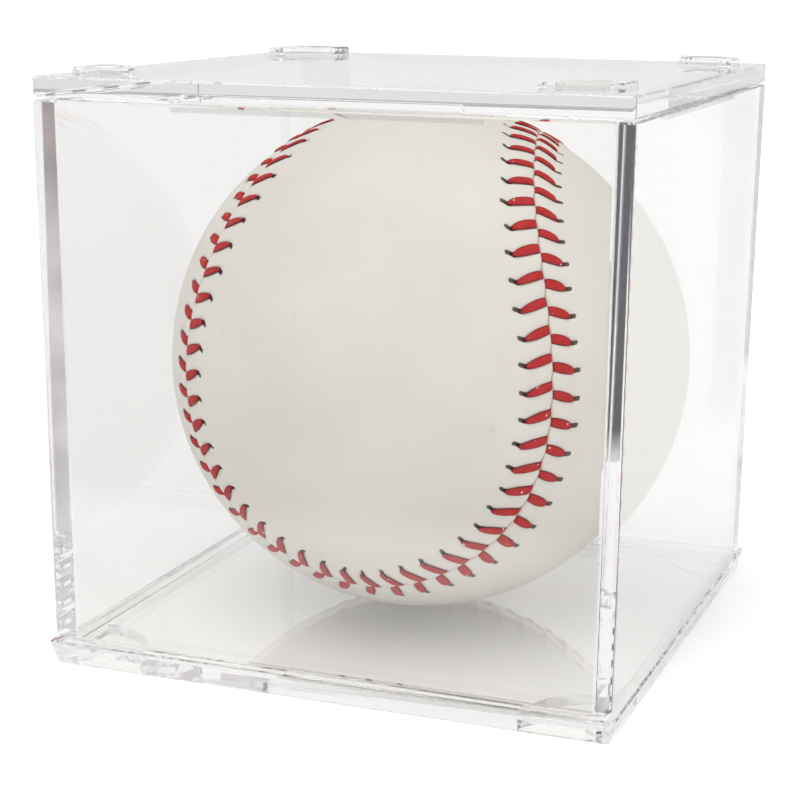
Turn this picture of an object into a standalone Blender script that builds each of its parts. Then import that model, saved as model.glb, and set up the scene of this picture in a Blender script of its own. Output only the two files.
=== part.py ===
"""Clear stacking display cube for one ball, with the ball that it shows.

The cube is three clear mouldings: a lid with stacking lugs, locating ribs and a fingernail notch, a sleeve of
four walls, and a base with pockets for the lugs of another cube. The ball is a cork and rubber pill, two
windings, two figure-eight covers and the thread that sews them.
Run with: blender --background --python part.py
"""

from math import acos, atan2, cos, pi, radians, sin, sqrt

import bmesh
import bpy
from mathutils import Euler, Matrix, Quaternion, Vector

MM = 0.001

# Fits
SEAT_GAP = 0.3 * MM
LAYER_GAP = 0.4 * MM
EDGE_BREAK = 0.25 * MM
CUT_OVERRUN = 1.0 * MM

# Ball, from its middle outwards
CORK_RADIUS = 10.3 * MM
CUP_THICKNESS = 5.9 * MM
WASHER_THICKNESS = 1.0 * MM
WOOL_THICKNESS = 14.1 * MM
COTTON_THICKNESS = 3.9 * MM
YARN_TAIL_HOLE_RADIUS = 1.0 * MM
COVER_THICKNESS = 1.3 * MM
PILL_SEGMENTS = 16
BALL_SEGMENTS = 20
RUNG_COUNT = 48
RUNG_STEPS = 9

# The seam's nearest approach to the middle of a cover, and how far it swings to either side, in radians
SEAM_WAIST = 0.412
SEAM_SWING = 0.358
SEAM_SAMPLES = 4000

# Thread, which runs in the gap between the covers and comes up over them at each stitch
SEAM_GAP = 0.7 * MM
STRAND_WIDTH = 0.3 * MM
STRAND_DEPTH = 0.5 * MM
STRAND_SINK = 0.2 * MM
THREAD_CLEARANCE = 0.1 * MM
THREAD_THICKNESS = 0.35 * MM
STITCH_COUNT = 108
STITCH_WIDTH = 1.2 * MM
STITCH_REACH = 3.7 * MM
STITCH_SLANT = 1.3 * MM
# Steps of the seam for each stitch: a bare gap, the left leg's root and the right leg's root
STEPS_PER_STITCH = 3
# Along a stitch from the seam to its hole, as shares of its length, its greatest width and its thickness
STITCH_LENGTH_SHARES = (0.5, 1.0)
STITCH_WIDTH_SHARES = (1.0, 0.35)
STITCH_HEIGHT_SHARES = (1.0, 0.5)

# How the ball lies in the cube, in degrees about X, Y and Z
BALL_LIE_DEGREES = (179, -15, -88)

# Room for the ball
BALL_SIDE_CLEARANCE = 0.45 * MM
BALL_HEAD_CLEARANCE = 1.5 * MM

# Walls
WALL = 2.4 * MM
WALL_DRAFT = 0.7 * MM
WALL_FOOT_EASE = 0.5 * MM
CORNER_RADIUS = 0.5 * MM
INNER_CORNER_RADIUS = 0.5 * MM
CORNER_STEPS = 3

# Lid
LID_THICKNESS = 2.8 * MM
RIB_LENGTH = 44.0 * MM
RIB_THICKNESS = 1.2 * MM
RIB_DEPTH = 1.4 * MM
RIB_END_DRAFT = 0.6 * MM
NOTCH_LENGTH = 39.0 * MM
NOTCH_HEIGHT = 1.05 * MM
NOTCH_DEPTH = 1.6 * MM
NOTCH_END_DRAFT = 0.5 * MM

# Base
FLOOR = 2.5 * MM
LEDGE = 1.0 * MM
BASE_DRAFT = 0.7 * MM
TONGUE = 1.1 * MM

# Lugs on the lid and the pockets under the base that fit over them
LUG_INSET = 3.0 * MM
LUG_RADIUS = 10.0 * MM
LUG_HEIGHT = 1.1 * MM
LUG_RIB = 1.8 * MM
LUG_CORNER_RADIUS = 3.5 * MM
LUG_INNER_CORNER_RADIUS = 1.5 * MM
PLATE_BITE = 0.6 * MM
POCKET_CLEARANCE = 0.4 * MM
ARC_STEPS = 10

SHARP_ANGLE = radians(35)

# Worked out from the sizes above: the ball, then the cube round it
CUP_INNER = CORK_RADIUS + SEAT_GAP
PILL_RADIUS = CUP_INNER + CUP_THICKNESS
WOOL_INNER = PILL_RADIUS + LAYER_GAP
WOOL_RADIUS = WOOL_INNER + WOOL_THICKNESS
COTTON_INNER = WOOL_RADIUS + LAYER_GAP
COTTON_RADIUS = COTTON_INNER + COTTON_THICKNESS
COVER_INNER = COTTON_RADIUS + LAYER_GAP
BALL_RADIUS = COVER_INNER + COVER_THICKNESS
THREAD_TOP = BALL_RADIUS + THREAD_CLEARANCE + THREAD_THICKNESS
INNER_FOOT_HALF = THREAD_TOP + BALL_SIDE_CLEARANCE
INNER_HALF = INNER_FOOT_HALF + WALL_DRAFT
HALF = INNER_HALF + WALL
BALL_HEIGHT = FLOOR + SEAT_GAP + THREAD_TOP
LID_BOTTOM = BALL_HEIGHT + THREAD_TOP + BALL_HEAD_CLEARANCE
CUBE_HEIGHT = LID_BOTTOM + LID_THICKNESS
SLEEVE_TOP = LID_BOTTOM - SEAT_GAP
LEDGE_TOP = FLOOR + LEDGE
SLEEVE_FOOT = LEDGE_TOP + SEAT_GAP
TONGUE_HALF = INNER_FOOT_HALF + TONGUE
POCKET_DEPTH = LUG_HEIGHT + POCKET_CLEARANCE


def clear_scene():
    for obj in list(bpy.data.objects):
        bpy.data.objects.remove(obj, do_unlink=True)


def material(name, colour, roughness, transmission=0.0):
    made = bpy.data.materials.new(name)
    made.use_nodes = True
    shader = made.node_tree.nodes["Principled BSDF"]
    shader.inputs["Base Color"].default_value = (*colour, 1.0)
    shader.inputs["Roughness"].default_value = roughness
    shader.inputs["Metallic"].default_value = 0.0
    shader.inputs["Transmission Weight"].default_value = transmission
    made.diffuse_color = (*colour, 1.0)
    return made


def add_object(name, mesh, parent=None):
    obj = bpy.data.objects.new(name, mesh)
    bpy.context.scene.collection.objects.link(obj)
    obj.parent = parent
    return obj


def mesh_from(name, points, faces, finish=None):
    """A mesh with its faces turned outwards, shaded smooth but for its sharp edges."""
    mesh = bpy.data.meshes.new(name)
    mesh.from_pydata([tuple(point) for point in points], [], faces)
    work = bmesh.new()
    work.from_mesh(mesh)
    bmesh.ops.recalc_face_normals(work, faces=work.faces)
    work.to_mesh(mesh)
    work.free()
    mesh.shade_smooth()
    mesh.set_sharp_from_angle(angle=SHARP_ANGLE)
    if finish is not None:
        mesh.materials.append(finish)
    return mesh


def loft(name, rings, finish=None, is_tube=False):
    """Joins rings of equal count. The first and last are capped, or joined to each other in a tube."""
    count = len(rings[0])
    points = [point for ring in rings for point in ring]
    faces = []
    for row in range(len(rings) if is_tube else len(rings) - 1):
        low, high = row * count, (row + 1) % len(rings) * count
        for i in range(count):
            j = (i + 1) % count
            faces.append((low + i, low + j, high + j, high + i))
    if not is_tube:
        faces.append(range(count))
        faces.append(range(len(points) - count, len(points)))
    return mesh_from(name, points, faces, finish)


def apply_tool(target, operation, tool_mesh):
    """Adds a Boolean modifier that unites or cuts with a hidden tool object."""
    tool = add_object(f"{tool_mesh.name}_tool", tool_mesh)
    tool.hide_render = True
    tool.display_type = "WIRE"
    modifier = target.modifiers.new(tool_mesh.name, "BOOLEAN")
    modifier.operation = operation
    modifier.object = tool
    modifier.solver = "EXACT"


def quarter_turn(quarter):
    return Matrix.Rotation(quarter * pi / 2, 3, "Z")


def rounded_square(half, radius, z):
    """A level ring round a square with rounded corners."""
    ring = []
    for quarter in range(4):
        for step in range(CORNER_STEPS + 1):
            angle = step / CORNER_STEPS * pi / 2
            point = Vector((half - radius + radius * cos(angle), half - radius + radius * sin(angle), z))
            ring.append(quarter_turn(quarter) @ point)
    return ring


def quarter_disc(quarter, inset, radius, corner_radius, z):
    """A level ring round a quarter disc: its square corner, eased, points to the cube's corner."""
    ring = []
    for step in range(CORNER_STEPS + 1):
        angle = step / CORNER_STEPS * pi / 2
        ring.append(Vector((corner_radius * (1 - cos(angle)), corner_radius * (1 - sin(angle)), -z)))
    for step in range(ARC_STEPS + 1):
        angle = step / ARC_STEPS * pi / 2
        ring.append(Vector((radius * cos(angle), radius * sin(angle), -z)))
    corner = Vector((HALF - inset, HALF - inset, 0))
    return [quarter_turn(quarter) @ (corner - point) for point in ring]


def lug_mesh(quarter):
    """A low rib that runs round a quarter disc, rooted in the lid."""
    top = CUBE_HEIGHT + LUG_HEIGHT
    root = CUBE_HEIGHT - PLATE_BITE
    inner = (quarter, LUG_INSET + LUG_RIB, LUG_RADIUS - 2 * LUG_RIB, LUG_INNER_CORNER_RADIUS)
    eased = (quarter, LUG_INSET + EDGE_BREAK, LUG_RADIUS - 2 * EDGE_BREAK, LUG_CORNER_RADIUS - EDGE_BREAK)
    rings = [
        quarter_disc(quarter, LUG_INSET, LUG_RADIUS, LUG_CORNER_RADIUS, root),
        quarter_disc(quarter, LUG_INSET, LUG_RADIUS, LUG_CORNER_RADIUS, top - EDGE_BREAK),
        quarter_disc(*eased, top),
        quarter_disc(*inner, top),
        quarter_disc(*inner, root),
    ]
    return loft(f"lug_{quarter}", rings, is_tube=True)


def pocket_mesh(quarter):
    """The hollow that fits over a lug, open below."""
    sizes = (quarter, LUG_INSET - POCKET_CLEARANCE, LUG_RADIUS + 2 * POCKET_CLEARANCE, LUG_CORNER_RADIUS)
    rings = [quarter_disc(*sizes, -CUT_OVERRUN), quarter_disc(*sizes, POCKET_DEPTH)]
    return loft(f"pocket_{quarter}", rings)


def rib_mesh(quarter):
    """A rib under the lid that stands inside the top of one wall, narrower at its foot."""
    outer = INNER_HALF - SEAT_GAP
    rings = []
    for z, draft in ((LID_BOTTOM + PLATE_BITE, 0), (LID_BOTTOM, 0), (LID_BOTTOM - RIB_DEPTH, 1)):
        end = RIB_LENGTH / 2 - draft * RIB_END_DRAFT
        near, far = outer - RIB_THICKNESS + draft * EDGE_BREAK, outer - draft * EDGE_BREAK
        corners = ((near, -end), (far, -end), (far, end), (near, end))
        rings.append([quarter_turn(quarter) @ Vector((x, y, z)) for x, y in corners])
    return loft(f"rib_{quarter}", rings)


def notch_mesh():
    """The fingernail notch low in the front of the lid, wider at its mouth."""
    low, high = LID_BOTTOM - CUT_OVERRUN, LID_BOTTOM + NOTCH_HEIGHT
    half_top = NOTCH_LENGTH / 2 - NOTCH_END_DRAFT
    half_low = half_top + NOTCH_END_DRAFT / NOTCH_HEIGHT * (high - low)
    rings = []
    for y in (-HALF - CUT_OVERRUN, -HALF + NOTCH_DEPTH):
        outline = ((-half_low, low), (half_low, low), (half_top, high), (-half_top, high))
        rings.append([Vector((x, y, z)) for x, z in outline])
    return loft("notch", rings)


def build_lid(plastic):
    """A plate with four ribs below that centre it in the walls, four lugs above and the notch in front."""
    lift_axis = add_object("lid_lift", None)
    rings = [
        rounded_square(HALF - EDGE_BREAK, CORNER_RADIUS, LID_BOTTOM),
        rounded_square(HALF, CORNER_RADIUS, LID_BOTTOM + EDGE_BREAK),
        rounded_square(HALF, CORNER_RADIUS, CUBE_HEIGHT - EDGE_BREAK),
        rounded_square(HALF - EDGE_BREAK, CORNER_RADIUS, CUBE_HEIGHT),
    ]
    lid = add_object("lid", loft("lid", rings, plastic), lift_axis)
    for quarter in range(4):
        apply_tool(lid, "UNION", lug_mesh(quarter))
        apply_tool(lid, "UNION", rib_mesh(quarter))
    apply_tool(lid, "DIFFERENCE", notch_mesh())


def build_sleeve(plastic):
    """Four walls in one moulding, drafted in towards the base, with a tongue that drops into the base."""
    foot_half = HALF - WALL_DRAFT
    tongue_foot = FLOOR + SEAT_GAP
    rings = [
        rounded_square(foot_half - WALL_FOOT_EASE, CORNER_RADIUS, SLEEVE_FOOT),
        rounded_square(foot_half, CORNER_RADIUS, SLEEVE_FOOT + WALL_FOOT_EASE),
        rounded_square(HALF, CORNER_RADIUS, SLEEVE_TOP - EDGE_BREAK),
        rounded_square(HALF - EDGE_BREAK, CORNER_RADIUS, SLEEVE_TOP),
        rounded_square(INNER_HALF + EDGE_BREAK, INNER_CORNER_RADIUS, SLEEVE_TOP),
        rounded_square(INNER_HALF, INNER_CORNER_RADIUS, SLEEVE_TOP - EDGE_BREAK),
        rounded_square(INNER_FOOT_HALF, INNER_CORNER_RADIUS, tongue_foot),
        rounded_square(TONGUE_HALF, INNER_CORNER_RADIUS, tongue_foot),
        rounded_square(TONGUE_HALF, INNER_CORNER_RADIUS, SLEEVE_FOOT),
    ]
    add_object("wall_sleeve", loft("wall_sleeve", rings, plastic, is_tube=True))


def build_base(plastic):
    """The floor, sunk inside the ledge that carries the walls, with four pockets below."""
    sunk_half = TONGUE_HALF + SEAT_GAP
    rings = [
        rounded_square(HALF - BASE_DRAFT - EDGE_BREAK, CORNER_RADIUS, 0),
        rounded_square(HALF - BASE_DRAFT, CORNER_RADIUS, EDGE_BREAK),
        rounded_square(HALF, CORNER_RADIUS, LEDGE_TOP - EDGE_BREAK),
        rounded_square(HALF - EDGE_BREAK, CORNER_RADIUS, LEDGE_TOP),
        rounded_square(sunk_half, INNER_CORNER_RADIUS, LEDGE_TOP),
        rounded_square(sunk_half, INNER_CORNER_RADIUS, FLOOR),
    ]
    base = add_object("base", loft("base", rings, plastic))
    for quarter in range(4):
        apply_tool(base, "DIFFERENCE", pocket_mesh(quarter))


def turned(name, profile, segments, finish):
    """Turns a closed profile of (radius, z) points round Z. Points on the axis stay single."""
    points, rows = [], []
    for radius, z in profile:
        on_axis = radius < CORK_RADIUS / segments**2
        row = []
        for segment in range(1 if on_axis else segments):
            angle = 2 * pi * segment / segments
            row.append(len(points))
            points.append((radius * cos(angle), radius * sin(angle), z))
        rows.append(row)
    faces = []
    for index, near in enumerate(rows):
        far = rows[(index + 1) % len(rows)]
        if len(near) == len(far) == 1:
            continue
        for i in range(segments):
            j = (i + 1) % segments
            corners = (near[i % len(near)], near[j % len(near)], far[j % len(far)], far[i % len(far)])
            faces.append(tuple(dict.fromkeys(corners)))
    return mesh_from(name, points, faces, finish)


def arc(radius, start, end, steps):
    """Points (radius, z) of a circle between two angles above the equator."""
    angles = [start + (end - start) * step / steps for step in range(steps + 1)]
    return [(radius * cos(angle), radius * sin(angle)) for angle in angles]


def build_pill(centre):
    """A cork ball in two rubber cups, which a rubber washer seals."""
    cork = material("cork", (0.55, 0.38, 0.22), 0.9)
    black_rubber = material("black_rubber", (0.03, 0.03, 0.03), 0.7)
    red_rubber = material("red_rubber", (0.45, 0.04, 0.03), 0.6)
    rim = WASHER_THICKNESS / 2 + SEAT_GAP
    steps = PILL_SEGMENTS // 2

    cork_profile = arc(CORK_RADIUS, -pi / 2, pi / 2, steps)
    add_object("cork_core", turned("cork_core", cork_profile, PILL_SEGMENTS, cork), centre)

    inner_rim_angle = atan2(rim, sqrt(CUP_INNER**2 - rim**2))
    outer_rim_angle = atan2(rim, sqrt(PILL_RADIUS**2 - rim**2))
    cup_profile = arc(CUP_INNER, pi / 2, inner_rim_angle, steps // 2)
    cup_profile += arc(PILL_RADIUS, outer_rim_angle, pi / 2, steps // 2)
    for name, side in (("rubber_cup_upper", 1), ("rubber_cup_lower", -1)):
        profile = [(radius, side * z) for radius, z in cup_profile]
        add_object(name, turned(name, profile, PILL_SEGMENTS, black_rubber), centre)

    half = WASHER_THICKNESS / 2
    washer_profile = [(CUP_INNER, -half), (PILL_RADIUS, -half), (PILL_RADIUS, half), (CUP_INNER, half)]
    washer = turned("rubber_washer", washer_profile, PILL_SEGMENTS, red_rubber)
    add_object("rubber_washer", washer, centre)


def build_winding(name, inner, outer, finish, centre):
    """A ball of yarn round what it holds, with a small hole where the yarn's tail is tucked in."""
    steps = BALL_SEGMENTS // 2
    inner_top = acos(YARN_TAIL_HOLE_RADIUS / inner)
    outer_top = acos(YARN_TAIL_HOLE_RADIUS / outer)
    profile = arc(inner, inner_top, -pi / 2, steps) + arc(outer, -pi / 2, outer_top, steps)
    add_object(name, turned(name, profile, BALL_SEGMENTS, finish), centre)


def seam_direction(t):
    """The seam as a direction from the ball's centre. It closes as t runs from 0 to 4 pi."""
    latitude = (pi / 2 - SEAM_WAIST) * cos(t)
    longitude = t / 2 + SEAM_SWING * sin(2 * t)
    return Vector((cos(latitude) * cos(longitude), cos(latitude) * sin(longitude), sin(latitude)))


def seam_frame(t):
    """The seam's direction from the centre, its heading, and the direction across it, on the ball."""
    step = 2 * pi / SEAM_SAMPLES
    seam = seam_direction(t)
    heading = (seam_direction(t + step) - seam_direction(t - step)).normalized()
    return seam, heading, seam.cross(heading).normalized()


def spaced_along_seam(start, end, count):
    """Seam parameters at equal distances from start to end, both ends included."""
    step = (end - start) / SEAM_SAMPLES
    lengths = [0.0]
    for i in range(SEAM_SAMPLES):
        chord = seam_direction(start + (i + 1) * step) - seam_direction(start + i * step)
        lengths.append(lengths[-1] + chord.length)
    found, i = [], 0
    for k in range(count):
        wanted = lengths[-1] * k / (count - 1)
        while i < SEAM_SAMPLES - 1 and lengths[i + 1] < wanted:
            i += 1
        found.append(start + (i + (wanted - lengths[i]) / (lengths[i + 1] - lengths[i])) * step)
    return found


def cover_mesh(leather):
    """One figure-eight cover, whose rungs cross its middle line from the seam to the seam."""
    directions, rows = [], []
    for number, t in enumerate(spaced_along_seam(-pi, pi, RUNG_COUNT + 1)):
        seam, _, inward = seam_frame(t)
        edge = (seam * BALL_RADIUS + inward * SEAM_GAP / 2).normalized()
        along = atan2(edge.y, edge.z)
        reach = atan2(edge.x, sqrt(edge.y**2 + edge.z**2))
        at_tip = number in (0, RUNG_COUNT)
        row = []
        for step in range(1 if at_tip else RUNG_STEPS + 1):
            across = 0 if at_tip else reach * (1 - 2 * step / RUNG_STEPS)
            row.append(len(directions))
            directions.append(Vector((sin(across), cos(across) * sin(along), cos(across) * cos(along))))
        rows.append(row)
    inside = len(directions)
    points = [direction * BALL_RADIUS for direction in directions]
    points += [direction * COVER_INNER for direction in directions]
    faces = []
    for near, far in zip(rows, rows[1:]):
        for step in range(RUNG_STEPS):
            a, b = near[min(step, len(near) - 1)], near[min(step + 1, len(near) - 1)]
            c, d = far[min(step + 1, len(far) - 1)], far[min(step, len(far) - 1)]
            ring = tuple(dict.fromkeys((a, b, c, d)))
            faces.append(ring)
            faces.append(tuple(inside + corner for corner in reversed(ring)))
        for side in (0, -1):
            faces.append((near[side], far[side], inside + far[side], inside + near[side]))
    return mesh_from("cover", points, faces, leather)


def at_radius(point, radius):
    return point.normalized() * radius


def add_stitch(points, faces, root, t, side):
    """One leg of a stitch: up out of the seam, then over the leather, narrowing and sinking to its hole."""
    foot = BALL_RADIUS + THREAD_CLEARANCE
    rings = [root, range(len(points), len(points) + 4)]
    for corner, radius in zip(root, (foot, foot, THREAD_TOP, THREAD_TOP)):
        points.append(at_radius(points[corner], radius))
    seam, heading, across = seam_frame(t)
    run = across * side * STITCH_REACH + heading * STITCH_SLANT
    for length, width, height in zip(STITCH_LENGTH_SHARES, STITCH_WIDTH_SHARES, STITCH_HEIGHT_SHARES):
        place = seam * BALL_RADIUS + run * length
        half = run.cross(place).normalized() * side * STITCH_WIDTH * width / 2
        back = foot + THREAD_THICKNESS * height
        rings.append(range(len(points), len(points) + 4))
        points += [at_radius(place, foot) - half, at_radius(place, foot) + half]
        points += [at_radius(place, back) + half / 2, at_radius(place, back) - half / 2]
    for near, far in zip(rings, rings[1:]):
        for i in range(4):
            j = (i + 1) % 4
            faces.append((near[i], near[j], far[j], far[i]))
    faces.append(rings[-1])


def thread_mesh(thread):
    """The sewing thread: a sunk strand along the seam and, at each stitch, a leg out over either cover."""
    points, faces = [], []
    steps = STEPS_PER_STITCH * STITCH_COUNT
    places = spaced_along_seam(0.0, 4 * pi, steps + 1)
    for t in places[:-1]:
        seam, _, across = seam_frame(t)
        top = BALL_RADIUS - STRAND_SINK
        points.append(seam * (top - STRAND_DEPTH))
        points.append(at_radius(seam * top - across * STRAND_WIDTH / 2, top))
        points.append(at_radius(seam * top + across * STRAND_WIDTH / 2, top))
    for step in range(steps):
        near, far = 3 * step, 3 * ((step + 1) % steps)
        left, right = (near + 1, far + 1), (near + 2, far + 2)
        faces.append((near, far, far + 1, near + 1))
        faces.append((near + 2, far + 2, far, near))
        middle = (places[step] + places[step + 1]) / 2
        part = step % STEPS_PER_STITCH
        if part == 0:
            faces.append((*left, *reversed(right)))
        elif part == 1:
            add_stitch(points, faces, (*left, *reversed(right)), middle, -1)
        else:
            add_stitch(points, faces, (*right, *reversed(left)), middle, 1)
    return mesh_from("seam_thread", points, faces, thread)


def build_ball():
    """From the pill outwards, all round one centre that the ball turns about."""
    centre = add_object("ball_centre", None)
    centre.location = (0, 0, BALL_HEIGHT)
    centre.rotation_euler = Euler([radians(angle) for angle in BALL_LIE_DEGREES])
    build_pill(centre)

    wool = material("grey_wool", (0.42, 0.42, 0.42), 0.95)
    cotton = material("white_cotton", (0.85, 0.84, 0.8), 0.95)
    build_winding("wool_winding", WOOL_INNER, WOOL_RADIUS, wool, centre)
    build_winding("cotton_winding", COTTON_INNER, COTTON_RADIUS, cotton, centre)

    cover = cover_mesh(material("white_leather", (0.86, 0.84, 0.79), 0.45))
    add_object("cover_first", cover, centre)
    second = add_object("cover_second", cover, centre)
    second.rotation_mode = "QUATERNION"
    second.rotation_quaternion = Quaternion((1, 1, 0), pi)
    thread = thread_mesh(material("red_thread", (0.62, 0.08, 0.09), 0.6))
    add_object("seam_thread", thread, centre)


def main():
    clear_scene()
    plastic = material("clear_plastic", (0.96, 0.97, 0.97), 0.04, transmission=1.0)
    build_base(plastic)
    build_sleeve(plastic)
    build_lid(plastic)
    build_ball()


main()
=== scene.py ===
"""Looks of the clear display cube and of the stitched ball in it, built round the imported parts.

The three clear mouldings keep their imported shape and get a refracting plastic, and the ball's core of cork and
rubber keeps its shape too. The covers, the thread and the windings are replaced by finer ones: leather that is
creased, pressed and pierced at every stitch of the same seam, a flat waxed thread for every leg, and yarn in
turns. Lengths are in metres.
"""

from math import cos, exp, floor, pi, radians, sin, sqrt

import bmesh
import bpy
from mathutils import Euler, Matrix, Quaternion, Vector

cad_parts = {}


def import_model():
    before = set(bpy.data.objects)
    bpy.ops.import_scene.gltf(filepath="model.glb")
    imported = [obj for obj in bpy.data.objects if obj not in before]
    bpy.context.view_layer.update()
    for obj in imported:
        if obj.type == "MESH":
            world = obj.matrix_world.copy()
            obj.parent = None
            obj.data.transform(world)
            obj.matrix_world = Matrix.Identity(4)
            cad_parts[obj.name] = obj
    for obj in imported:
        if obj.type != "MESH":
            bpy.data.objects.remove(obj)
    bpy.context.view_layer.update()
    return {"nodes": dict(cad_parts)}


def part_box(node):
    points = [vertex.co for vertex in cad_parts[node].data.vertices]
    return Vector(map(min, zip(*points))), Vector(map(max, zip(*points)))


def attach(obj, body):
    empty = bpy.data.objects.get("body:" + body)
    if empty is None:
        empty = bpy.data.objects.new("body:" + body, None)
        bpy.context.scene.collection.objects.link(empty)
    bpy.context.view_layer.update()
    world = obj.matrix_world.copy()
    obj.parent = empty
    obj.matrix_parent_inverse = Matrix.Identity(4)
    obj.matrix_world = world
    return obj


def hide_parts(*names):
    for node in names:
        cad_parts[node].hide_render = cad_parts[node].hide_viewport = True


MM = 0.001

# Camera, fitted to the corners of the cube in the photograph
CAMERA_PLACE = Vector((98.4, -269.9, 98.0)) * MM
CAMERA_AZIMUTH = radians(20.773)
CAMERA_ELEVATION = radians(12.715)
CAMERA_ROLL = radians(0.512)
FOCAL_PIXELS = 1971.75
IMAGE_PIXELS = 800
SENSOR_WIDTH = 36.0
CLIP_START = 0.01

# Clear plastic: its colour where light is bent by it, and where light comes straight through one surface
PLASTIC_IOR = 1.55
PLASTIC_TINT = (0.955, 0.952, 0.948, 1.0)
STRAIGHT_TINT = (0.96, 0.96, 0.957, 1.0)
FLOW_WAVE = 0.012 * MM
# Haze: how much a slanting view adds, what is always there, and how much of it light inside the plastic is spared
HAZE_SLANT, HAZE_LEAST, HAZE_SPARED = 0.09, 0.002, 0.85

# Seam of the ball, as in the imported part
SEAM_WAIST = 0.412
SEAM_SWING = 0.358
SEAM_SAMPLES = 4000
STITCH_COUNT = 108
BALL_LIE_DEGREES = (179, -15, -88)

# Leather
COVER_THICKNESS = 1.3 * MM
SEAM_HALF_GAP = 0.025 * MM
# How far the pull of each leg bends the seam towards it, and how far from the seam that is felt
SEAM_WAVE = 0.13 * MM
SEAM_WAVE_REACH = 2.2 * MM
STEPS_PER_STITCH = 12
BAND_WIDTH = 7.2 * MM
BAND_SHARES = (0, 0.012, 0.03, 0.06, 0.1, 0.155, 0.22, 0.29, 0.36, 0.43, 0.485, 0.54, 0.6, 0.67, 0.75, 0.86, 1)
RUNG_STEPS = 24
CREASE_DEPTH = 0.22 * MM
CREASE_WIDTH = 0.16 * MM
PUFF_HEIGHT = 0.16 * MM
PUFF_REACH = 2.6 * MM
# Where the puff is highest, as a share of its reach, and how steeply it falls on both sides
PUFF_TOP, PUFF_STEEPNESS = 0.55, 3
PRESS_DEPTH = 0.14 * MM
# How wide a leg presses, as a share of its width
PRESS_SHARE = 0.55
HOLE_DEPTH = 0.35 * MM
# From where the relief fades out, and between which distances the leather starts to follow its own leg's length
RELIEF_FADE = 0.75 * BAND_WIDTH
OWN_LEG_SPAN = (0.3 * BAND_WIDTH, 0.4 * BAND_WIDTH)

# Thread. Legs and holes differ a little on the two sides of the seam, -1 and 1
THREAD_WIDTH = 1.35 * MM
THREAD_THICKNESS = 0.36 * MM
STITCH_REACHES = {-1: 3.9 * MM, 1: 3.3 * MM}
# How far a leg has moved along the seam at its end, and how far its hole then turns back
STITCH_SLANTS = {-1: 1.15 * MM, 1: 0.75 * MM}
SLANT_CURVE = 1.3
HOLE_BACKS = {-1: 0.45 * MM, 1: 0.12 * MM}
# How far single stitches differ from that
REACH_UNEVEN = 0.22 * MM
SLANT_UNEVEN = 0.14 * MM
WIDTH_UNEVEN = 0.08
# Needle holes, each from under the end of its leg to a rounded end past it
HOLE_UNDER = 0.4 * MM
HOLE_PAST = 1.15 * MM
HOLE_HALF_WIDTH = 0.33 * MM
# Where the root of a leg lies between one stitch and the next, as shares of the pitch, for either side of the seam
ROOT_SHARES = {-1: 1 / 2, 1: 5 / 6}
LEG_RINGS = 16
LEG_SIDES = 12
# Share of a leg over which it turns from lying along the seam to lying across it
ROOT_TURN = 0.3
# Along a leg: place as a share of its length, width as a share of the full width, and height of its middle
LEG_SHARES = (
    (0.0, 0.95, -0.25 * MM),
    (0.05, 1.0, -0.05 * MM),
    (0.14, 1.0, 0.07 * MM),
    (0.35, 1.04, 0.12 * MM),
    (0.6, 1.0, 0.12 * MM),
    (0.8, 0.82, 0.08 * MM),
    (0.93, 0.6, 0.0),
    (1.0, 0.45, -0.2 * MM),
)

# Windings under the leather: the turns of yarn that show on each, and their width
WINDINGS = {
    "cotton_turns": ("cotton_winding", "white_cotton", (0.5, 0.48, 0.42), (0.88, 0.86, 0.81), 84, 0.7 * MM),
    "wool_turns": ("wool_winding", "grey_wool", (0.16, 0.16, 0.16), (0.5, 0.5, 0.5), 56, 1.1 * MM),
}
TURN_STEPS = 60
TURN_SIDES = 6
TURN_FLATNESS = 0.55
TURN_LAYERS = 3

# Bounces of light in the thickness of a wall, from one end of it to the other
LIGHT_BOUNCES = 40

# Light that the surroundings cast, as a share of the white that is seen there, and two soft lamps
WORLD_LIGHT = 0.6
KEY_AZIMUTH, KEY_ELEVATION, KEY_STRENGTH = radians(-8), radians(68), 1.62
FILL_AZIMUTH, FILL_ELEVATION, FILL_STRENGTH = radians(75), radians(30), 0.42
SUN_SOFTNESS = radians(50)

# Stage
FLOOR_HALF = 3.0
FLOOR_DROP = 0.02 * MM
FLOOR_SHADE = 0.9
FLOOR_GLOW = 0.11
# How far in front of the cube's middle the white table ends, and over what length
TABLE_EDGE = 0.125
TABLE_EDGE_BLUR = 0.02
FAR_TABLE = (0.03, 0.03, 0.03)
FAR_TABLE_GLOW = (0.2, 0.2, 0.2)
# How bright the room behind the camera is, and where it turns white, from straight in front at 0 to behind at 1
ROOM_SHADE = 0.12
ROOM_RISE = (0.2, 0.5)
# The room's colour for light led along inside the plastic, and the share of it on the table there
ROOM_TINT = (0.66, 0.645, 0.69)
TINT_ON_TABLE = 0.6
# How bright the lowest part of the sky is, and between which heights it turns white
SKYLINE_SHADE = 0.82
SKYLINE_RISE = (0.07, 0.14)
# Upright cards behind the back ends of the side walls, which only light led along inside a wall meets: the wall's
# side, how far the card goes past the wall's outer face, and its height and colour at the lowest edge, at two
# heights between which the colour turns, and at the highest edge
DARK, GREY, PALE = (0.06, 0.064, 0.08), (0.43, 0.37, 0.375), (0.76, 0.735, 0.735)
CARDS = {
    "dark_card": (1, 6 * MM, ((22 * MM, PALE), (23 * MM, PALE), (27 * MM, DARK), (78 * MM, DARK))),
    "grey_card": (-1, 0, ((1 * MM, PALE), (52 * MM, PALE), (66 * MM, GREY), (78 * MM, GREY))),
}
CARD_BEHIND = 8.0 * MM
CARD_INSET = 9.0 * MM


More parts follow.
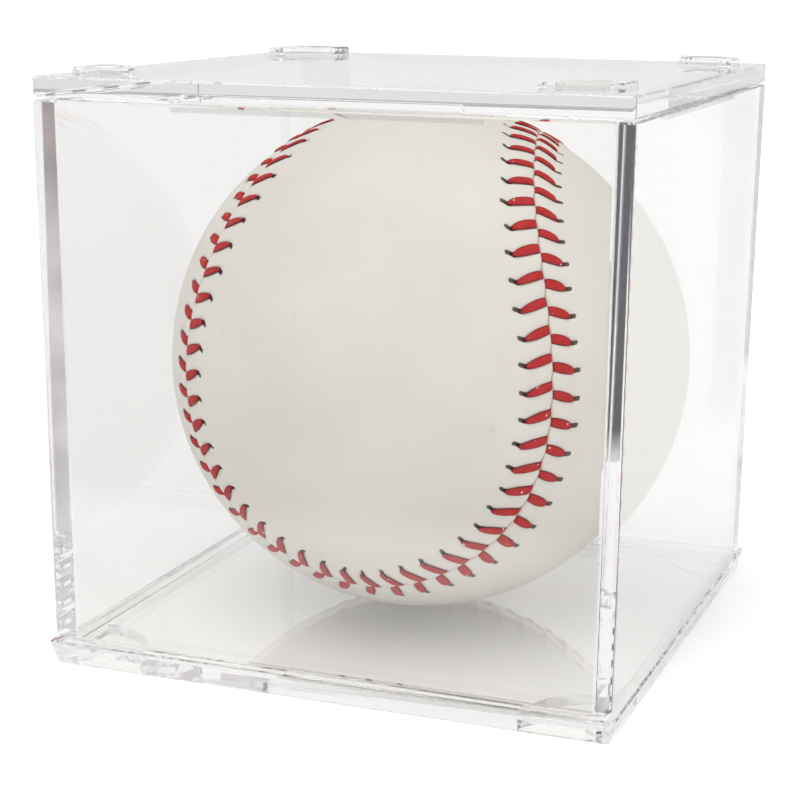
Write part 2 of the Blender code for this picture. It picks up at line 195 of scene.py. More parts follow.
def node(tree, kind, inputs=None, **settings):
    """Adds a node. Each input is a value, or an output that is joined to it."""
    made = tree.nodes.new(kind)
    for key, value in settings.items():
        setattr(made, key, value)
    for key, value in (inputs or {}).items():
        if isinstance(value, bpy.types.NodeSocket):
            tree.links.new(value, made.inputs[key])
        else:
            made.inputs[key].default_value = value
    return made


def math_node(tree, operation, *values, clamp=False):
    return node(tree, "ShaderNodeMath", dict(enumerate(values)), operation=operation, use_clamp=clamp).outputs[0]


def ramp(tree, value, *stops):
    """A colour ramp through (place, colour) stops, in rising order."""
    made = node(tree, "ShaderNodeValToRGB", {"Fac": value})
    elements = made.color_ramp.elements
    elements[1].position, elements[0].position = stops[-1][0], stops[0][0]
    for place, _ in stops[1:-1]:
        elements.new(place)
    for element, (_, colour) in zip(elements, stops):
        element.color = (*colour, 1.0) if isinstance(colour, tuple) else (colour, colour, colour, 1.0)
    return made.outputs["Color"]


def mixed(tree, factor, first, second, blend="MIX"):
    """Two colours mixed by a factor."""
    made = node(tree, "ShaderNodeMix", data_type="RGBA", blend_type=blend)
    for socket, value in zip((made.inputs[0], made.inputs[6], made.inputs[7]), (factor, first, second)):
        if isinstance(value, bpy.types.NodeSocket):
            tree.links.new(value, socket)
        elif isinstance(value, tuple):
            socket.default_value = (*value, 1.0)
        else:
            socket.default_value = value
    return made.outputs[2]


def new_material(name):
    """A material with its node tree, its Principled shader and the object's own coordinates."""
    made = bpy.data.materials.new(name)
    made.use_nodes = True
    tree = made.node_tree
    place = node(tree, "ShaderNodeTexCoord").outputs["Object"]
    return made, tree, tree.nodes["Principled BSDF"], place


def noise(tree, place, scale, detail=3.0, roughness=0.55):
    inputs = {"Vector": place, "Scale": scale, "Detail": detail, "Roughness": roughness}
    return node(tree, "ShaderNodeTexNoise", inputs).outputs["Fac"]


def bump(tree, height, distance, strength=1.0, under=None):
    inputs = {"Height": height, "Distance": distance, "Strength": strength}
    if under is not None:
        inputs["Normal"] = under
    return node(tree, "ShaderNodeBump", inputs).outputs["Normal"]


def clear_plastic():
    """Clear polystyrene: refracting, a little warm, with faint flow waves and fine scuffs."""
    made, tree, shader, place = new_material("clear_plastic")
    waves = noise(tree, place, 30.0, detail=1.0)
    stretched = node(tree, "ShaderNodeMapping", {"Vector": place, "Scale": (900.0, 60.0, 900.0)}).outputs[0]
    scuffs = noise(tree, stretched, 1.0, detail=4.0, roughness=0.7)
    scuff_marks = ramp(tree, scuffs, (0.62, 0.0), (0.72, 1.0))
    shader.inputs["IOR"].default_value = PLASTIC_IOR
    shader.inputs["Transmission Weight"].default_value = 1.0
    shader.inputs["Base Color"].default_value = PLASTIC_TINT
    rough = math_node(tree, "MULTIPLY_ADD", scuff_marks, 0.03, 0.012)
    tree.links.new(rough, shader.inputs["Roughness"])
    tree.links.new(bump(tree, waves, FLOW_WAVE, strength=0.5), shader.inputs["Normal"])
    # Light that falls on what is inside comes straight through the walls
    path = node(tree, "ShaderNodeLightPath").outputs
    straight = math_node(tree, "MAXIMUM", path["Is Shadow Ray"], path["Is Diffuse Ray"])
    through = node(tree, "ShaderNodeBsdfTransparent", {"Color": STRAIGHT_TINT}).outputs[0]
    # A thin haze of handling marks, which shows most where the surface is seen at a slant from outside
    facing = node(tree, "ShaderNodeLayerWeight", {"Blend": 0.35}).outputs["Facing"]
    haze = math_node(tree, "MULTIPLY_ADD", facing, HAZE_SLANT, HAZE_LEAST)
    outward = math_node(tree, "MULTIPLY_ADD", only_reflected(tree, path), -HAZE_SPARED, 1.0)
    haze = math_node(tree, "MULTIPLY", haze, outward)
    veil = node(tree, "ShaderNodeBsdfDiffuse", {"Color": (0.9, 0.89, 0.88, 1.0)}).outputs[0]
    surface = node(tree, "ShaderNodeMixShader", {0: haze, 1: shader.outputs[0], 2: veil}).outputs[0]
    mix = node(tree, "ShaderNodeMixShader", {0: straight, 1: surface, 2: through}).outputs[0]
    tree.links.new(mix, tree.nodes["Material Output"].inputs["Surface"])
    return made


def leather(name, pitch, side):
    """White leather: fine grain, faint blotches, painted shade in the needle holes, and a brown painted shade along
    the crease of the seam.
    """
    made, tree, shader, place = new_material(name)
    seam = node(tree, "ShaderNodeUVMap", uv_map="seam").outputs[0]
    parts = node(tree, "ShaderNodeSeparateXYZ", {0: seam}).outputs
    crease = parts["Y"]
    aside = math_node(tree, "MULTIPLY", math_node(tree, "PINGPONG", parts["X"], 0.5), pitch)
    middle, half_length = hole_span(side)
    along = math_node(tree, "MULTIPLY_ADD", parts["Y"], BAND_WIDTH, -middle)
    beyond = math_node(tree, "SUBTRACT", math_node(tree, "ABSOLUTE", along), half_length, clamp=True)
    squares = math_node(tree, "MULTIPLY_ADD", aside, aside, math_node(tree, "MULTIPLY", beyond, beyond))
    outside = math_node(tree, "DIVIDE", math_node(tree, "SQRT", squares), HOLE_HALF_WIDTH)

    blotches = noise(tree, place, 60.0, detail=4.0)
    pores = noise(tree, place, 2600.0, detail=2.0)
    cells = node(tree, "ShaderNodeTexVoronoi", {"Vector": place, "Scale": 1500.0}).outputs["Distance"]
    colour = ramp(tree, blotches, (0.3, (0.80, 0.76, 0.69)), (0.7, (0.86, 0.825, 0.76)))
    dirt = ramp(tree, noise(tree, place, 450.0, detail=6.0), (0.66, 0.0), (0.8, 0.35))
    colour = mixed(tree, dirt, colour, (0.52, 0.46, 0.36))
    # Painted shade: a brown darkening along the crease of the seam, where shade falls
    crease_painted_shade = ramp(tree, crease, (0.0, 0.35), (0.02, 0.12), (0.06, 0.0))
    colour = mixed(tree, crease_painted_shade, colour, (0.42, 0.31, 0.22))
    rim = math_node(tree, "MULTIPLY", outside, 0.5, clamp=True)
    stretched = ramp(tree, rim, (0.5, 0.5), (0.8, 0.0))
    colour = mixed(tree, stretched, colour, (0.93, 0.92, 0.89))
    # Painted shade in the needle holes: black near the leg, fading to brown towards the far end
    hole_painted_shade = ramp(tree, rim, (0.42, 1.0), (0.6, 0.0))
    end_of_hole = math_node(tree, "MULTIPLY_ADD", along, 0.5 / half_length, 0.5, clamp=True)
    inside = ramp(tree, end_of_hole, (0.35, (0.010, 0.007, 0.004)), (1.0, (0.13, 0.095, 0.06)))
    colour = mixed(tree, hole_painted_shade, colour, inside)
    tree.links.new(colour, shader.inputs["Base Color"])
    rough = ramp(tree, pores, (0.3, 0.36), (0.7, 0.52))
    tree.links.new(rough, shader.inputs["Roughness"])
    grain = bump(tree, cells, 0.03 * MM, strength=0.5)
    grain = bump(tree, pores, 0.015 * MM, strength=0.6, under=grain)
    tree.links.new(grain, shader.inputs["Normal"])
    shader.inputs["Specular IOR Level"].default_value = 0.42
    shader.inputs["Coat Weight"].default_value = 0.08
    shader.inputs["Coat Roughness"].default_value = 0.3
    return made


def red_thread():
    """Waxed red thread: plies along each leg, painted shade darkening it towards its rounded edges, with a speck of
    lint here and there.
    """
    made, tree, shader, place = new_material("red_thread")
    strand = node(tree, "ShaderNodeUVMap", uv_map="strand").outputs[0]
    parts = node(tree, "ShaderNodeSeparateXYZ", {0: strand}).outputs
    # Twisted plies run slantwise round the leg
    twist = math_node(tree, "MULTIPLY_ADD", parts["X"], 5.0, math_node(tree, "MULTIPLY", parts["Y"], 14.0))
    plies = math_node(tree, "SINE", math_node(tree, "MULTIPLY", twist, 2 * pi))
    fibres = noise(tree, place, 9000.0, detail=2.0)
    # Painted shade: each leg is coloured darker towards its rounded sides and brighter on its flat top and bottom
    edge = math_node(tree, "ABSOLUTE", math_node(tree, "SINE", math_node(tree, "MULTIPLY", parts["Y"], 2 * pi)))
    colour = ramp(tree, edge, (0.3, (0.12, 0.004, 0.007)), (0.75, (0.53, 0.018, 0.022)))
    patches = ramp(tree, noise(tree, place, 700.0), (0.35, 0.0), (0.7, 0.5))
    colour = mixed(tree, patches, colour, (0.62, 0.045, 0.042))
    lint = ramp(tree, noise(tree, place, 1500.0, detail=0.0), (0.8, 0.0), (0.83, 0.9))
    colour = mixed(tree, lint, colour, (0.85, 0.8, 0.76))
    tree.links.new(colour, shader.inputs["Base Color"])
    shader.inputs["Roughness"].default_value = 0.6
    shader.inputs["Specular IOR Level"].default_value = 0.25
    relief = bump(tree, plies, 0.03 * MM, strength=0.7)
    relief = bump(tree, fibres, 0.02 * MM, strength=0.6, under=relief)
    tree.links.new(relief, shader.inputs["Normal"])
    return made


def wound_yarn(name, dark, light):
    """Yarn wound round and round, in bands that cross, with painted shade darkening the low gaps between bands and
    random fuzz in tone.
    """
    made, tree, shader, place = new_material(name)
    bands = []
    for turn in ((0.3, 0.2, 0.9), (1.3, 0.8, 0.1), (0.2, 1.4, 0.5)):
        turned = node(tree, "ShaderNodeMapping", {"Vector": place, "Rotation": turn}).outputs[0]
        wave = {"Vector": turned, "Scale": 140.0, "Distortion": 3.0, "Detail": 2.0}
        bands.append(node(tree, "ShaderNodeTexWave", wave).outputs["Fac"])
    height = math_node(tree, "MAXIMUM", bands[0], math_node(tree, "MAXIMUM", bands[1], bands[2]))
    fuzz = noise(tree, place, 3000.0)
    # Painted shade: the colour is darker where the bands are low, mixed with random fuzz
    shade = math_node(tree, "MULTIPLY", height, fuzz)
    tree.links.new(ramp(tree, shade, (0.1, dark), (0.6, light)), shader.inputs["Base Color"])
    shader.inputs["Roughness"].default_value = 0.9
    shader.inputs["Sheen Weight"].default_value = 0.3
    tree.links.new(bump(tree, height, 0.4 * MM), shader.inputs["Normal"])
    return made


def rubber(name, dark, light):
    """Moulded rubber with a faint bloom."""
    made, tree, shader, place = new_material(name)
    bloom = noise(tree, place, 350.0, detail=5.0)
    tree.links.new(ramp(tree, bloom, (0.35, dark), (0.75, light)), shader.inputs["Base Color"])
    tree.links.new(ramp(tree, bloom, (0.3, 0.5), (0.7, 0.7)), shader.inputs["Roughness"])
    tree.links.new(bump(tree, noise(tree, place, 2500.0), 0.02 * MM), shader.inputs["Normal"])
    return made


def cork():
    """Pressed cork: grains of several browns with dark gaps."""
    made, tree, shader, place = new_material("cork")
    cells = node(tree, "ShaderNodeTexVoronoi", {"Vector": place, "Scale": 650.0}).outputs
    grains = ramp(tree, cells["Color"], (0.2, (0.40, 0.25, 0.13)), (0.8, (0.66, 0.47, 0.28)))
    gaps = ramp(tree, cells["Distance"], (0.45, 0.0), (0.8, 0.7))
    tree.links.new(mixed(tree, gaps, grains, (0.16, 0.09, 0.05)), shader.inputs["Base Color"])
    shader.inputs["Roughness"].default_value = 0.85
    tree.links.new(bump(tree, gaps, -0.15 * MM), shader.inputs["Normal"])
    return made


def seam_direction(t):
    """The seam as a direction from the ball's centre. It closes as t runs from 0 to 4 pi."""
    latitude = (pi / 2 - SEAM_WAIST) * cos(t)
    longitude = t / 2 + SEAM_SWING * sin(2 * t)
    return Vector((cos(latitude) * cos(longitude), cos(latitude) * sin(longitude), sin(latitude)))


def seam_frame(t):
    """The seam's direction from the centre, its heading, and the direction across it, on the ball."""
    step = 2 * pi / SEAM_SAMPLES
    seam = seam_direction(t)
    heading = (seam_direction(t + step) - seam_direction(t - step)).normalized()
    return seam, heading, seam.cross(heading).normalized()


def spaced_along_seam(count):
    """Seam parameters at equal distances, all the way round from 0."""
    step = 4 * pi / SEAM_SAMPLES
    lengths = [0.0]
    for i in range(SEAM_SAMPLES):
        chord = seam_direction((i + 1) * step) - seam_direction(i * step)
        lengths.append(lengths[-1] + chord.length)
    found, i = [], 0
    for k in range(count):
        wanted = lengths[-1] * k / count
        while lengths[i + 1] < wanted:
            i += 1
        found.append((i + (wanted - lengths[i]) / (lengths[i + 1] - lengths[i])) * step)
    return found, lengths[-1]


def between(low, high, value):
    """How far value is from low to high, eased at both ends, from 0 to 1."""
    share = min(max((value - low) / (high - low), 0.0), 1.0)
    return share * share * (3 - 2 * share)


def along_table(table, share):
    """The rest of a table's row at a share, worked out between its rows."""
    for low, high in zip(table, table[1:]):
        if share <= high[0]:
            part = (share - low[0]) / (high[0] - low[0])
            return [a + (b - a) * part for a, b in zip(low[1:], high[1:])]
    return table[-1][1:]


def uneven(stitch, side, kind):
    """A number from -1 to 1 that differs from stitch to stitch and is the same in every run."""
    wave = sin(12.9898 * (stitch % STITCH_COUNT) + 78.233 * side + 37.719 * kind) * 43758.5453
    return 2 * (wave - floor(wave)) - 1


def hole_span(side):
    """Distance of the middle of a needle hole from the seam, and half the length of its straight part."""
    start = STITCH_REACHES[side] - HOLE_UNDER
    end = STITCH_REACHES[side] + HOLE_PAST - HOLE_HALF_WIDTH
    return (start + end) / 2, (end - start) / 2


def leg_line(distance, side, stitch):
    """How far the middle of a leg, and then of its hole, has moved along the seam at a distance from it."""
    reach = STITCH_REACHES[side]
    slant = STITCH_SLANTS[side] + SLANT_UNEVEN * uneven(stitch, side, 0)
    slant *= (min(distance, reach) / reach) ** SLANT_CURVE
    return slant - HOLE_BACKS[side] * between(reach - HOLE_UNDER, reach + HOLE_PAST, distance)


def seam_wave(phase):
    """How far the seam lies to the left of its plain curve, at a phase in stitches."""
    return SEAM_WAVE * cos(2 * pi * (phase - ROOT_SHARES[1]))


class Ball:
    """Sizes of the ball and places round its seam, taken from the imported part."""

    def __init__(self):
        low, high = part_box("cover_first")
        other_low, other_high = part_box("cover_second")
        low, high = Vector(map(min, low, other_low)), Vector(map(max, high, other_high))
        self.centre = (low + high) / 2
        self.radius = (high - low).length / sqrt(12)
        self.lie = Euler([radians(angle) for angle in BALL_LIE_DEGREES]).to_matrix().to_4x4()
        places, seam_length = spaced_along_seam(STITCH_COUNT * STEPS_PER_STITCH)
        self.frames = [seam_frame(t) for t in places]
        self.pitch = seam_length * self.radius / STITCH_COUNT

    def point(self, step, across, height=0.0):
        """A point on the ball at a distance to the left of the seam."""
        seam, _, left = self.frames[step % len(self.frames)]
        angle = across / self.radius
        return (seam * cos(angle) + left * sin(angle)) * (self.radius + height)

    def add(self, name, mesh):
        mesh.transform(Matrix.Translation(self.centre) @ self.lie)
        obj = bpy.data.objects.new(name, mesh)
        bpy.context.scene.collection.objects.link(obj)
        return obj


def leg_place(ball, phase, distance, side):
    """Where a point lies by the nearest leg: along the seam from the leg's middle line, in stitches, and across.

    Whole stitches lead from the first leg to the others, and a leg that is longer has its points nearer.
    """
    offset = phase - ROOT_SHARES[side] - leg_line(distance, side, 0) / ball.pitch
    stitch = floor(offset + 0.5)
    offset = phase - ROOT_SHARES[side] - leg_line(distance, side, stitch) / ball.pitch
    longer = REACH_UNEVEN * uneven(stitch, side, 1) * between(*OWN_LEG_SPAN, distance)
    return offset, distance - longer


def leather_height(ball, offset, distance, side):
    """Height of the leather over the ball, at a place by the nearest leg."""
    reach = STITCH_REACHES[side]
    aside = (offset - floor(offset + 0.5)) * ball.pitch
    before_end = 1 - between(reach, reach + HOLE_PAST, distance)
    under_leg = exp(-((aside / (THREAD_WIDTH * PRESS_SHARE)) ** 2)) * before_end
    crease = exp(-((distance / CREASE_WIDTH) ** 2))
    puff = exp(-((distance / PUFF_REACH - PUFF_TOP) ** 2) * PUFF_STEEPNESS) * (1 - under_leg)
    middle, half_length = hole_span(side)
    beyond = max(abs(distance - middle) - half_length, 0.0)
    hole = exp(-(aside**2 + beyond**2) / HOLE_HALF_WIDTH**2)
    return PUFF_HEIGHT * puff - PRESS_DEPTH * under_leg - CREASE_DEPTH * crease - HOLE_DEPTH * hole


def cover(ball, name, side, finish):
    """One figure-eight cover: fine bands along its seam, and rungs across the rest of it."""
    steps = len(ball.frames)
    # The cover on the left of the seam has its tips a quarter and three quarters of the way round
    start = -steps // 4 if side > 0 else 0
    mesh = bpy.data.meshes.new(name)
    work = bmesh.new()
    uv = work.loops.layers.uv.new("seam")
    marks = {}

    def add_point(place, offset=0.0, distance=BAND_WIDTH):
        made = work.verts.new(place)
        marks[made] = (offset, distance / BAND_WIDTH)
        return made

    rings = []
    for index in range(steps):
        step = start + index
        phase = step / STEPS_PER_STITCH
        rim = ball.point(step, side * SEAM_HALF_GAP + seam_wave(phase))
        ring = [add_point(rim * (1 - COVER_THICKNESS / ball.radius), distance=0.0)]
        for share in BAND_SHARES:
            distance = SEAM_HALF_GAP + share * BAND_WIDTH
            offset, across = leg_place(ball, phase, distance, side)
            height = leather_height(ball, offset, across, side)
            height *= 1 - between(RELIEF_FADE, BAND_WIDTH, distance)
            wave = seam_wave(phase) * (1 - between(0, SEAM_WAVE_REACH, distance))
            ring.append(add_point(ball.point(step, side * distance + wave, height), offset, across))
        rings.append(ring)
    for index in range(steps):
        near, far = rings[index], rings[(index + 1) % steps]
        lap = STITCH_COUNT if index == steps - 1 else 0
        for i in range(len(near) - 1):
            face = work.faces.new((near[i], far[i], far[i + 1], near[i + 1]))
            for loop, laps in zip(face.loops, (0, lap, lap, 0)):
                offset, distance = marks[loop.vert]
                loop[uv].uv = (offset + laps, distance)

    rungs = [[rings[0][-1]]]
    for index in range(1, steps // 2):
        first, last = rings[index][-1], rings[-index][-1]
        rung = [first]
        for i in range(1, RUNG_STEPS):
            between_ends = first.co.lerp(last.co, i / RUNG_STEPS)
            rung.append(add_point(between_ends.normalized() * ball.radius))
        rungs.append([*rung, last])
    rungs.append([rings[steps // 2][-1]])
    for near, far in zip(rungs, rungs[1:]):
        for i in range(RUNG_STEPS):
            corners = (near[min(i, len(near) - 1)], near[min(i + 1, len(near) - 1)])
            corners += (far[min(i + 1, len(far) - 1)], far[min(i, len(far) - 1)])
            face = work.faces.new(dict.fromkeys(corners))
            for loop in face.loops:
                loop[uv].uv = marks[loop.vert]
    for face in work.faces:
        face.smooth = True
    bmesh.ops.recalc_face_normals(work, faces=work.faces)
    work.to_mesh(mesh)
    work.free()
    mesh.materials.append(finish)
    return ball.add(name, mesh)


def stitch_leg(ball, work, uv, stitch, side):
    """One flat leg of thread, from the crease of the seam over the leather and down into its hole."""
    step = round((stitch + ROOT_SHARES[side]) * STEPS_PER_STITCH)
    seam, heading, left = ball.frames[step % len(ball.frames)]
    wave = seam_wave(step / STEPS_PER_STITCH)
    reach = STITCH_REACHES[side] + REACH_UNEVEN * uneven(stitch, side, 1)
    full_width = THREAD_WIDTH * (1 + WIDTH_UNEVEN * uneven(stitch, side, 2))
    spine = []
    for index in range(LEG_RINGS):
        share = index / (LEG_RINGS - 1)
        distance = reach * share
        width, height = along_table(LEG_SHARES, share)
        across = side * distance + wave * (1 - between(0, SEAM_WAVE_REACH, distance))
        flat = seam * ball.radius + left * across + heading * leg_line(distance, side, stitch)
        spine.append((flat.normalized() * (ball.radius + height), width * full_width / 2, share))
    rings = []
    for index, (place, half_width, share) in enumerate(spine):
        ahead = spine[min(index + 1, LEG_RINGS - 1)][0] - spine[max(index - 1, 0)][0]
        up = place.normalized()
        aside = ahead.cross(up).normalized() * side
        turned = between(0, ROOT_TURN, share)
        aside = (heading * (1 - turned) + aside * turned).normalized()
        ring = []
        for i in range(LEG_SIDES):
            angle = 2 * pi * i / LEG_SIDES
            out = aside * cos(angle) * half_width + up * sin(angle) * THREAD_THICKNESS / 2
            ring.append((work.verts.new(place + out), (share, i / LEG_SIDES)))
        rings.append(ring)
    for near, far in zip(rings, rings[1:]):
        for i in range(LEG_SIDES):
            j = (i + 1) % LEG_SIDES
            corners = (near[i], near[j], far[j], far[i])
            face = work.faces.new([corner[0] for corner in corners])
            face.smooth = True
            for loop, corner, turn in zip(face.loops, corners, (i, i + 1, i + 1, i)):
                loop[uv].uv = (corner[1][0], turn / LEG_SIDES)
    for ring in (rings[0], rings[-1]):
        work.faces.new([corner[0] for corner in ring])


def stitches(ball, finish):
    """Both legs of every stitch."""
    mesh = bpy.data.meshes.new("seam_stitches")
    work = bmesh.new()
    uv = work.loops.layers.uv.new("strand")
    for stitch in range(STITCH_COUNT):
        for side in (-1, 1):
            stitch_leg(ball, work, uv, stitch, side)
    bmesh.ops.recalc_face_normals(work, faces=work.faces)
    work.to_mesh(mesh)
    work.free()
    mesh.materials.append(finish)
    return ball.add("seam_stitches", mesh)


def add_turn(work, centre, axis, radius, width):
    """One closed turn of yarn round the ball, square to its axis."""
    first = axis.orthogonal().normalized()
    second = axis.cross(first)
    rings = []
    for step in range(TURN_STEPS):
        angle = 2 * pi * step / TURN_STEPS
        out = first * cos(angle) + second * sin(angle)
        ring = []
        for i in range(TURN_SIDES):
            corner = 2 * pi * i / TURN_SIDES
            height = radius + sin(corner) * width * TURN_FLATNESS / 2
            ring.append(work.verts.new(centre + out * height + axis * cos(corner) * width / 2))
        rings.append(ring)
    for near, far in zip(rings, rings[1:] + rings[:1]):
        for i in range(TURN_SIDES):
            j = (i + 1) % TURN_SIDES
            work.faces.new((near[i], near[j], far[j], far[i])).smooth = True


def winding(ball, name, packed, finish, turns, width):
    """A wound layer: turns of yarn round the ball in every direction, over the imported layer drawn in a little."""
    mesh = bpy.data.meshes.new(name)
    work = bmesh.new()
    work.from_mesh(packed.data)
    outer = max((vert.co - ball.centre).length for vert in work.verts)
    depth = width * TURN_FLATNESS
    for vert in work.verts:
        out = vert.co - ball.centre
        if out.length > outer - depth:
            vert.co = ball.centre + out * ((outer - depth) / out.length)
    for turn in range(turns):
        height = 1 - (turn + 0.5) / turns
        heading = turn * pi * (3 - sqrt(5))
        wide = sqrt(1 - height * height)
        axis = Vector((wide * cos(heading), wide * sin(heading), height))
        lower = depth / 2 * (1 + turn % TURN_LAYERS / TURN_LAYERS)
        add_turn(work, ball.centre, axis, outer - lower, width)
    bmesh.ops.recalc_face_normals(work, faces=work.faces)
    work.to_mesh(mesh)
    work.free()
    mesh.materials.clear()
    mesh.materials.append(finish)
    obj = bpy.data.objects.new(name, mesh)
    bpy.context.scene.collection.objects.link(obj)
    return obj


def dress_ball(nodes):
    """Replaces the plain covers, thread and windings. The new ones ride on the ball's body."""
    ball = Ball()
    for name, (packed, slot, dark, light, turns, width) in WINDINGS.items():
        piece = winding(ball, name, nodes[packed], wound_yarn(slot, dark, light), turns, width)
        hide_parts(packed)
        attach(piece, "ball")
    for name, side, replaced in (("leather_first", 1, "cover_first"), ("leather_second", -1, "cover_second")):
        piece = cover(ball, name, side, leather("white_" + name, ball.pitch, side))
        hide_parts(replaced)
        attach(piece, "ball")
    piece = stitches(ball, red_thread())
    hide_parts("seam_thread")
    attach(piece, "ball")


def dress_nodes(nodes):
    """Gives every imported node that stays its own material."""
    plastic = clear_plastic()
    finishes = {
        "base": plastic,
        "wall_sleeve": plastic,
        "lid": plastic,
        "rubber_cup_upper": rubber("black_rubber", (0.012, 0.012, 0.012), (0.05, 0.05, 0.05)),
        "rubber_cup_lower": rubber("black_rubber_lower", (0.012, 0.012, 0.012), (0.05, 0.05, 0.05)),
        "rubber_washer": rubber("red_rubber", (0.30, 0.02, 0.015), (0.5, 0.06, 0.045)),
        "cork_core": cork(),
    }
    for name, finish in finishes.items():
        nodes[name].data.materials.clear()
        nodes[name].data.materials.append(finish)


def camera():
    """The photograph's camera."""
    azimuth, elevation = CAMERA_AZIMUTH, CAMERA_ELEVATION
    ahead = Vector((-sin(azimuth) * cos(elevation), cos(azimuth) * cos(elevation), -sin(elevation)))
    right = Vector((cos(azimuth), sin(azimuth), 0))
    turn = Quaternion(ahead, -CAMERA_ROLL)
    right = turn @ right
    up = right.cross(ahead)
    data = bpy.data.cameras.new("photo_camera")
    data.sensor_width = SENSOR_WIDTH
    data.lens = FOCAL_PIXELS / IMAGE_PIXELS * SENSOR_WIDTH
    data.clip_start = CLIP_START
    obj = bpy.data.objects.new("photo_camera", data)
    bpy.context.scene.collection.objects.link(obj)
    obj.matrix_world = Matrix.Translation(CAMERA_PLACE) @ Matrix((right, up, -ahead)).transposed().to_4x4()
    bpy.context.scene.camera = obj


def sun(name, azimuth, elevation, strength, softness):
    """A soft lamp so far off that it lights the floor evenly, seen by no mirror or clear wall."""
    data = bpy.data.lights.new(name, "SUN")
    data.energy = strength
    data.angle = softness
    obj = bpy.data.objects.new(name, data)
    bpy.context.scene.collection.objects.link(obj)
    away = Vector((sin(azimuth) * cos(elevation), -cos(azimuth) * cos(elevation), sin(elevation)))
    obj.rotation_euler = (-away).to_track_quat("-Z", "Y").to_euler()
    obj.visible_glossy = False
    obj.visible_transmission = False


def only_reflected(tree, path, times=1):
    """1 for a ray that surfaces have thrown back so many times on its way, 0 for one that came straight through."""
    return math_node(tree, "GREATER_THAN", path["Glossy Depth"], times - 0.5)


def lights():
    """A white surrounding with a dim room in front of it, which only reflections show, and two soft lamps."""
    world = bpy.data.worlds.new("studio")
    bpy.context.scene.world = world
    world.use_nodes = True
    tree = world.node_tree
    path = node(tree, "ShaderNodeLightPath").outputs
    seen = math_node(tree, "MAXIMUM", path["Is Camera Ray"], path["Is Transmission Ray"])
    seen = math_node(tree, "MAXIMUM", seen, path["Is Glossy Ray"])
    strength = math_node(tree, "MULTIPLY_ADD", seen, 1 - WORLD_LIGHT, WORLD_LIGHT)
    direction = node(tree, "ShaderNodeTexCoord").outputs["Generated"]
    parts = node(tree, "ShaderNodeSeparateXYZ", {0: direction}).outputs
    backwards = math_node(tree, "MULTIPLY_ADD", parts["Y"], 0.5, 0.5)
    room = ramp(tree, backwards, (ROOM_RISE[0], ROOM_SHADE), (ROOM_RISE[1], 1.0))
    sky = ramp(tree, parts["Z"], (SKYLINE_RISE[0], SKYLINE_SHADE), (SKYLINE_RISE[1], 1.0))
    # Light led along inside the plastic finds one colour in front, which ends at once beside the box
    tinted = ramp(tree, parts["Y"], (0.0, ROOM_TINT), (0.0, 1.0))
    room = mixed(tree, only_reflected(tree, path, times=2), room, tinted)
    room = mixed(tree, 1.0, room, sky, blend="MULTIPLY")
    room = mixed(tree, only_reflected(tree, path), (1.0, 1.0, 1.0), room)
    background = tree.nodes["Background"]
    tree.links.new(room, background.inputs["Color"])
    tree.links.new(strength, background.inputs["Strength"])
    sun("key", KEY_AZIMUTH, KEY_ELEVATION, KEY_STRENGTH, SUN_SOFTNESS)
    sun("fill", FILL_AZIMUTH, FILL_ELEVATION, FILL_STRENGTH, SUN_SOFTNESS)


def stage():
    """A white floor that keeps the object's shadow. In reflections it ends where the room in front begins."""
    made, tree, shader, place = new_material("floor")
    path = node(tree, "ShaderNodeLightPath").outputs
    ahead = node(tree, "ShaderNodeSeparateXYZ", {0: place}).outputs["Y"]
    span = {0: ahead, 1: -TABLE_EDGE, 2: TABLE_EDGE_BLUR - TABLE_EDGE, 3: 1.0, 4: 0.0}
    edge = node(tree, "ShaderNodeMapRange", span).outputs[0]
    dim = math_node(tree, "MULTIPLY", edge, only_reflected(tree, path))
    white = (FLOOR_SHADE, FLOOR_SHADE, FLOOR_SHADE)
    tinted = tuple(TINT_ON_TABLE * part for part in ROOM_TINT)
    far_table = mixed(tree, only_reflected(tree, path, times=2), FAR_TABLE, tinted)
    tree.links.new(mixed(tree, dim, white, far_table), shader.inputs["Base Color"])
    tree.links.new(mixed(tree, dim, (1.0, 1.0, 1.0), FAR_TABLE_GLOW), shader.inputs["Emission Color"])
    shader.inputs["Roughness"].default_value = 1.0
    shader.inputs["Specular IOR Level"].default_value = 0.0
    shader.inputs["Emission Strength"].default_value = FLOOR_GLOW
    mesh = bpy.data.meshes.new("floor")
    corners = [(x * FLOOR_HALF, y * FLOOR_HALF, -FLOOR_DROP) for x, y in ((-1, -1), (1, -1), (1, 1), (-1, 1))]
    mesh.from_pydata(corners, [], [(0, 1, 2, 3)])
    mesh.materials.append(made)
    obj = bpy.data.objects.new("floor", mesh)
    bpy.context.scene.collection.objects.link(obj)


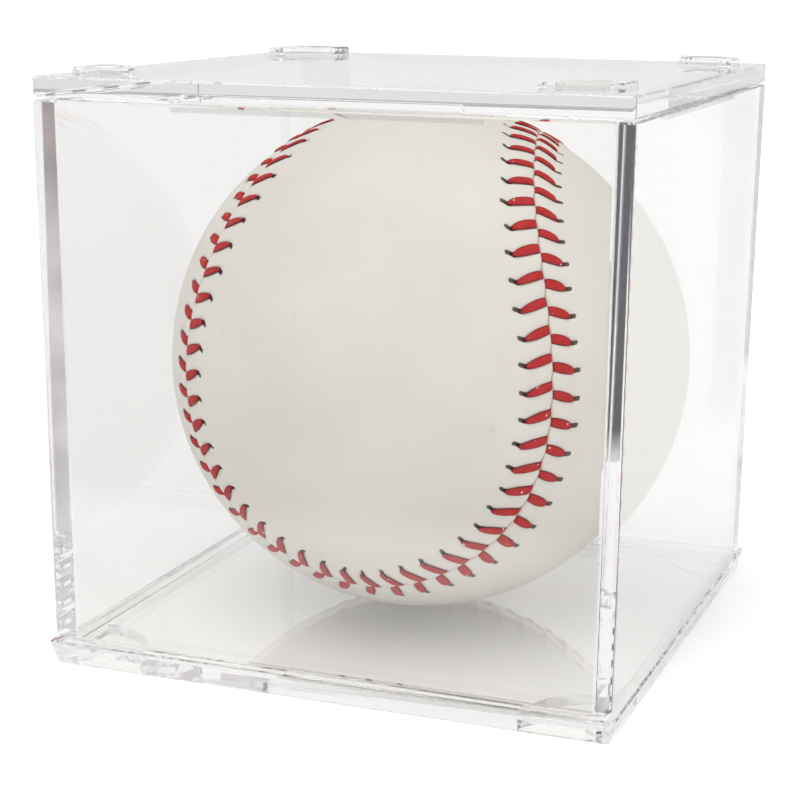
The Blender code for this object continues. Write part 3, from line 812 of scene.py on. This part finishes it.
def card_material(name, stops):
    """Coloured by height for light that surfaces have thrown back at least twice, and clear for all other light."""
    made, tree, _, place = new_material(name)
    path = node(tree, "ShaderNodeLightPath").outputs
    clear = node(tree, "ShaderNodeBsdfTransparent").outputs[0]
    height = node(tree, "ShaderNodeSeparateXYZ", {0: place}).outputs["Z"]
    low, high = stops[0][0], stops[-1][0]
    share = math_node(tree, "MULTIPLY_ADD", height, 1 / (high - low), -low / (high - low), clamp=True)
    colour = ramp(tree, share, *(((z - low) / (high - low), shade) for z, shade in stops))
    patches = ramp(tree, noise(tree, place, 120.0, detail=2.0), (0.3, 0.7), (0.7, 1.0))
    colour = mixed(tree, 1.0, patches, colour, blend="MULTIPLY")
    dark = node(tree, "ShaderNodeEmission", {"Color": colour}).outputs[0]
    shown = only_reflected(tree, path, times=2)
    surface = node(tree, "ShaderNodeMixShader", {0: shown, 1: clear, 2: dark}).outputs[0]
    tree.links.new(surface, tree.nodes["Material Output"].inputs["Surface"])
    return made


def cards():
    """Cards that stand behind the ends of the side walls and darken the corner columns in front."""
    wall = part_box("wall_sleeve")[1]
    y = wall.y + CARD_BEHIND
    for name, (side, past, stops) in CARDS.items():
        inner, outer = side * (wall.x - CARD_INSET), side * (wall.x + past)
        low, high = stops[0][0], stops[-1][0]
        mesh = bpy.data.meshes.new(name)
        mesh.from_pydata([(inner, y, low), (outer, y, low), (outer, y, high), (inner, y, high)], [], [(0, 1, 2, 3)])
        mesh.materials.append(card_material(name, stops))
        obj = bpy.data.objects.new(name, mesh)
        bpy.context.scene.collection.objects.link(obj)
        obj.visible_camera = False
        obj.visible_shadow = False


def main():
    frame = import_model()
    scene = bpy.context.scene
    scene.view_settings.view_transform = "Standard"
    scene.cycles.max_bounces = LIGHT_BOUNCES
    scene.cycles.transmission_bounces = LIGHT_BOUNCES
    scene.cycles.glossy_bounces = LIGHT_BOUNCES
    camera()
    lights()
    stage()
    cards()
    dress_nodes(frame["nodes"])
    dress_ball(frame["nodes"])


main()
